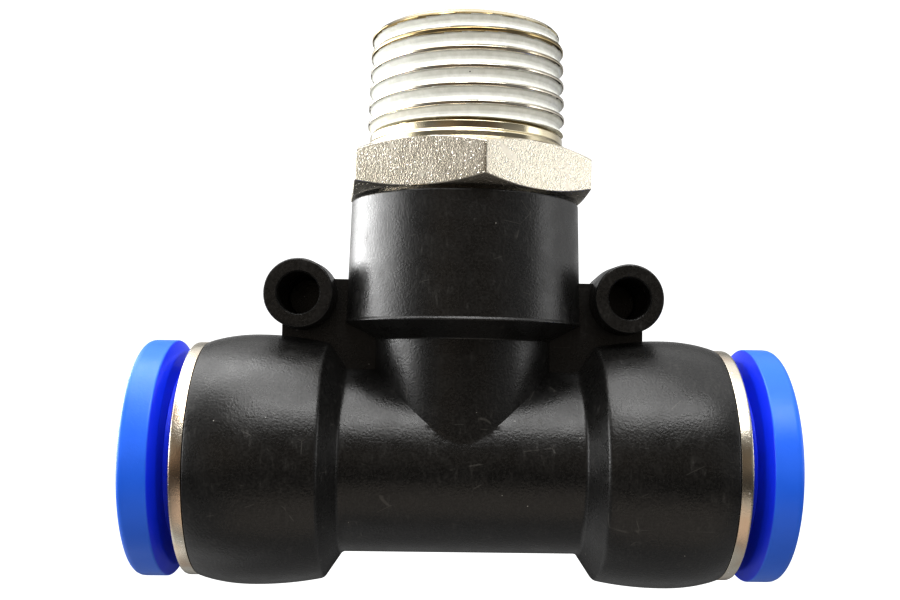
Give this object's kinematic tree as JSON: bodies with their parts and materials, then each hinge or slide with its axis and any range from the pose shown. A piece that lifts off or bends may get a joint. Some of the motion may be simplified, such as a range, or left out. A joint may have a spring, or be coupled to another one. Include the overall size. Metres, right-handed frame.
{
  "type": "push to connect fitting",
  "caption": "Male branch tee push-in fitting: swivelling taper-thread hex stud on a black moulded body with a tube port and blue release sleeve at each end of the run.",
  "frame": {"origin": "on the thread axis, in the upper face of the hexagon", "axes": "+Z along the branch towards the thread, +X along the run to the right-hand port"},
  "size_m": [0.0652, 0.0276, 0.0579],
  "materials": {
    "black_plastic": "fine matte moulded skin with faint orange peel",
    "nickel_plate": "bright nickel plate over turned brass",
    "sealant": "dry white sealant coat",
    "rubber": "matte nitrile rubber",
    "stainless_steel": "stamped spring steel",
    "white_plastic": "natural acetal",
    "blue_plastic": "semi-gloss moulded acetal"
  },
  "bodies": {
    "stud_body": {"stud": "nickel_plate", "thread_sealant": "sealant", "stud_o_ring": "rubber", "stud_snap_ring": "stainless_steel"},
    "housing": {"body": "black_plastic", "left_tube_seal": "rubber", "left_backing_ring": "white_plastic", "left_retaining_ring": "nickel_plate", "right_tube_seal": "rubber", "right_backing_ring": "white_plastic", "right_retaining_ring": "nickel_plate"},
    "left_collet": {"left_grip_ring": "stainless_steel"},
    "left_sleeve": {"left_release_sleeve": "blue_plastic"},
    "right_collet": {"right_grip_ring": "stainless_steel"},
    "right_sleeve": {"right_release_sleeve": "blue_plastic"}
  },
  "joints": [
    {"name": "body_swivel", "type": "hinge", "parent": "stud_body", "child": "housing", "pos_m": [0, 0, -0.012], "axis": [0, 0, 1], "continuous": true},
    {"name": "left_collet_spin", "type": "hinge", "parent": "housing", "child": "left_collet", "pos_m": [-0.0197, 0, -0.032], "axis": [1, 0, 0], "continuous": true},
    {"name": "left_sleeve_push", "type": "slide", "parent": "left_collet", "child": "left_sleeve", "axis": [1, 0, 0], "range_m": [0, 0.001], "stiffness_N_per_m": 4000},
    {"name": "right_collet_spin", "type": "hinge", "parent": "housing", "child": "right_collet", "pos_m": [0.0197, 0, -0.032], "axis": [1, 0, 0], "continuous": true},
    {"name": "right_sleeve_push", "type": "slide", "parent": "right_collet", "child": "right_sleeve", "axis": [-1, 0, 0], "range_m": [0, 0.001], "stiffness_N_per_m": 4000}
  ]
}
